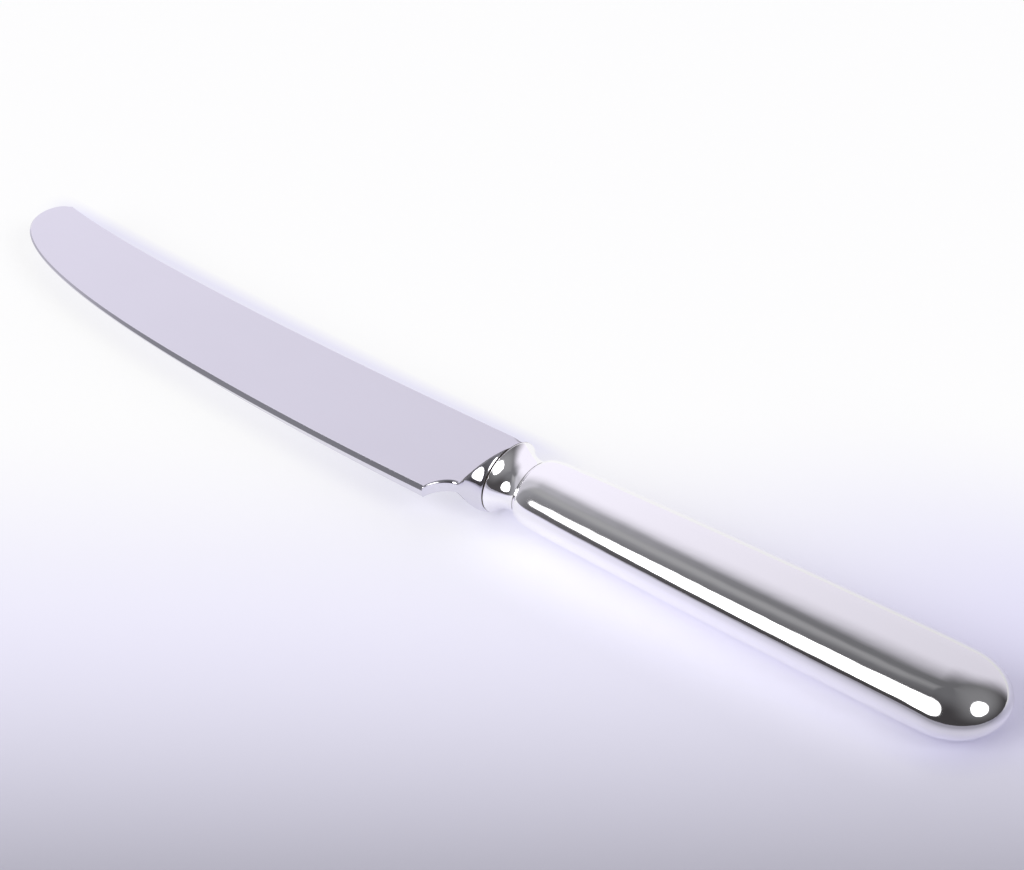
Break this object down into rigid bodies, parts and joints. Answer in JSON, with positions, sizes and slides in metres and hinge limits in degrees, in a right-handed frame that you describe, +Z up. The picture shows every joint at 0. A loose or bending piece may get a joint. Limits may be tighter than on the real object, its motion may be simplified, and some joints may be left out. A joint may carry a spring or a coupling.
{
  "type": "dessert knife",
  "caption": "Slim table knife for dessert: a curved steel blade forged in one with its bolster and tang, set into a tapered hollow silver handle with a rounded butt.",
  "frame": {"origin": "under the middle of the knife's box as it lies flat, on the surface that it lies on", "axes": "+X from the blade's tip to the butt of the handle, +Y from the cutting edge to the back of the blade, +Z up through the flat of the blade"},
  "size_m": [0.215, 0.0262, 0.012],
  "materials": {
    "blade_steel": "satin faces with a polished bolster",
    "handle_silver": "mirror polish with fine wear scratches",
    "silver_solder": "polished flush",
    "handle_cement": "dull, unseen inside the handle"
  },
  "bodies": {
    "root": {"blade": "blade_steel", "ferrule": "handle_silver", "ferrule_solder": "silver_solder", "handle_half_upper": "handle_silver", "handle_half_lower": "handle_silver", "seam_solder": "silver_solder", "cement_core": "handle_cement"}
  },
  "joints": []
}
